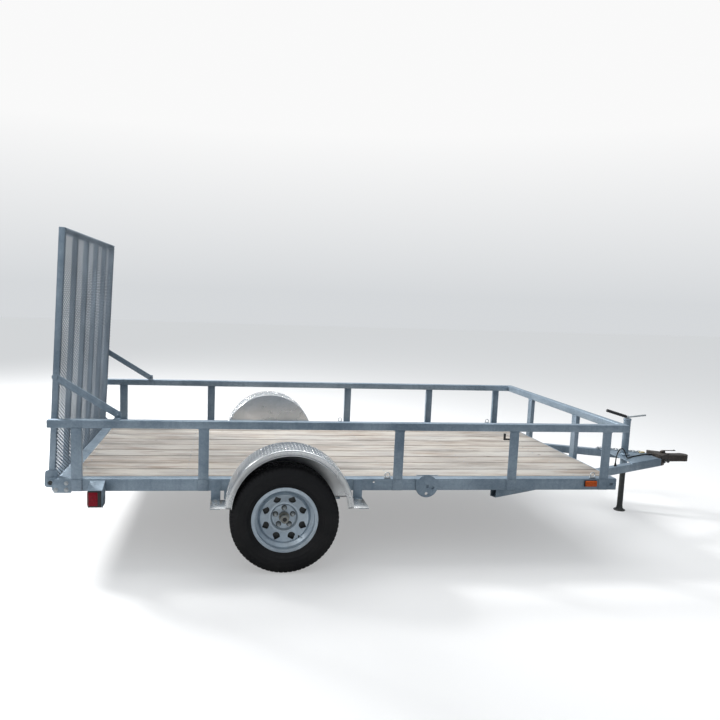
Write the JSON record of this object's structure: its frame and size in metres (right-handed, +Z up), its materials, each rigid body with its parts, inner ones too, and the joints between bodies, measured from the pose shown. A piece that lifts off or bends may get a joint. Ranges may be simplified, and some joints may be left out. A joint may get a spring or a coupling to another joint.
{
  "type": "single-axle utility trailer with ramp gate",
  "caption": "Open utility trailer with a plank deck, galvanised rail sides, arched fenders, A-frame tongue with jack and a fold-down mesh ramp gate.",
  "frame": {"origin": "on the ground under the middle of the trailer's length and width", "axes": "+X forward to the hitch, +Y to the left, +Z up"},
  "size_m": [5.0037, 2.4, 2.0808],
  "materials": {
    "galvanised_steel": "hot-dip galvanised, weathered, faint spangle",
    "gate_mesh_steel": "galvanised expanded mesh",
    "wheel_steel": "galvanised wheel, satin",
    "dark_steel": "dull dark paint",
    "coupler_iron": "dark brown-black, worn",
    "tread_plate": "bright tread plate",
    "deck_timber": "weathered pine planks",
    "tyre": "black rubber",
    "red_lens": "red lamp lens",
    "amber_lens": "amber lens",
    "black_plastic": "matt black",
    "black_rubber": "matt black cable"
  },
  "bodies": {
    "chassis": {"side_frame_right": "galvanised_steel", "side_frame_left": "galvanised_steel", "front_member": "galvanised_steel", "rear_member": "galvanised_steel", "cross_members": "galvanised_steel", "deck_planks": "deck_timber", "posts_right": "galvanised_steel", "posts_left": "galvanised_steel", "front_posts": "galvanised_steel", "rail_right": "galvanised_steel", "rail_left": "galvanised_steel", "front_rail": "galvanised_steel", "fender_right": "tread_plate", "fender_left": "tread_plate", "fender_brackets": "galvanised_steel", "axle": "dark_steel", "leaf_springs": "dark_steel", "spring_hangers": "galvanised_steel", "spring_clamps": "galvanised_steel", "tongue_right": "galvanised_steel", "tongue_left": "galvanised_steel", "tongue_plate": "galvanised_steel", "coupler": "coupler_iron", "coupler_latch": "coupler_iron", "jack_tube": "galvanised_steel", "jack_crank": "dark_steel", "lamp_brackets": "galvanised_steel", "tail_lamps": "red_lens", "side_markers": "amber_lens", "tie_down_rings": "galvanised_steel", "accessory_plate": "galvanised_steel", "hinge_brackets": "galvanised_steel", "corner_plates": "galvanised_steel", "brace_catches": "galvanised_steel", "rope_hook": "black_plastic", "cable_gland": "black_rubber", "harness_cable": "black_rubber", "harness_plug": "black_rubber"},
    "ramp_gate": {"gate_side_bars": "galvanised_steel", "gate_cross_bars": "galvanised_steel", "gate_ribs": "galvanised_steel", "gate_mesh": "gate_mesh_steel", "gate_hinge_lugs": "galvanised_steel"},
    "right_brace": {"brace_right": "galvanised_steel"},
    "left_brace": {"brace_left": "galvanised_steel"},
    "right_wheel": {"tyre_right": "tyre", "rim_right": "wheel_steel", "hub_right": "wheel_steel"},
    "left_wheel": {"tyre_left": "tyre", "rim_left": "wheel_steel", "hub_left": "wheel_steel"},
    "jack_foot": {"jack_leg": "dark_steel"}
  },
  "joints": [
    {"name": "gate_hinge", "type": "hinge", "parent": "chassis", "child": "ramp_gate", "pos_m": [-2.46213, 0, 0.506], "axis": [0, -1, 0], "range_deg": [0, 110]},
    {"name": "right_brace_bolt", "type": "hinge", "parent": "ramp_gate", "child": "right_brace", "pos_m": [-2.42738, -0.8905, 1.16909], "axis": [0, 1, 0], "range_deg": [0, 61.5]},
    {"name": "left_brace_bolt", "type": "hinge", "parent": "ramp_gate", "child": "left_brace", "pos_m": [-2.42738, 0.8905, 1.16909], "axis": [0, 1, 0], "range_deg": [0, 61.5]},
    {"name": "right_wheel_spin", "type": "hinge", "parent": "chassis", "child": "right_wheel", "pos_m": [-1.01013, -1.095, 0.341], "axis": [0, 1, 0], "continuous": true},
    {"name": "left_wheel_spin", "type": "hinge", "parent": "chassis", "child": "left_wheel", "pos_m": [-1.01013, 1.095, 0.341], "axis": [0, 1, 0], "continuous": true},
    {"name": "jack_slide", "type": "slide", "parent": "chassis", "child": "jack_foot", "axis": [0, 0, 1], "range_m": [0, 0.25]}
  ]
}
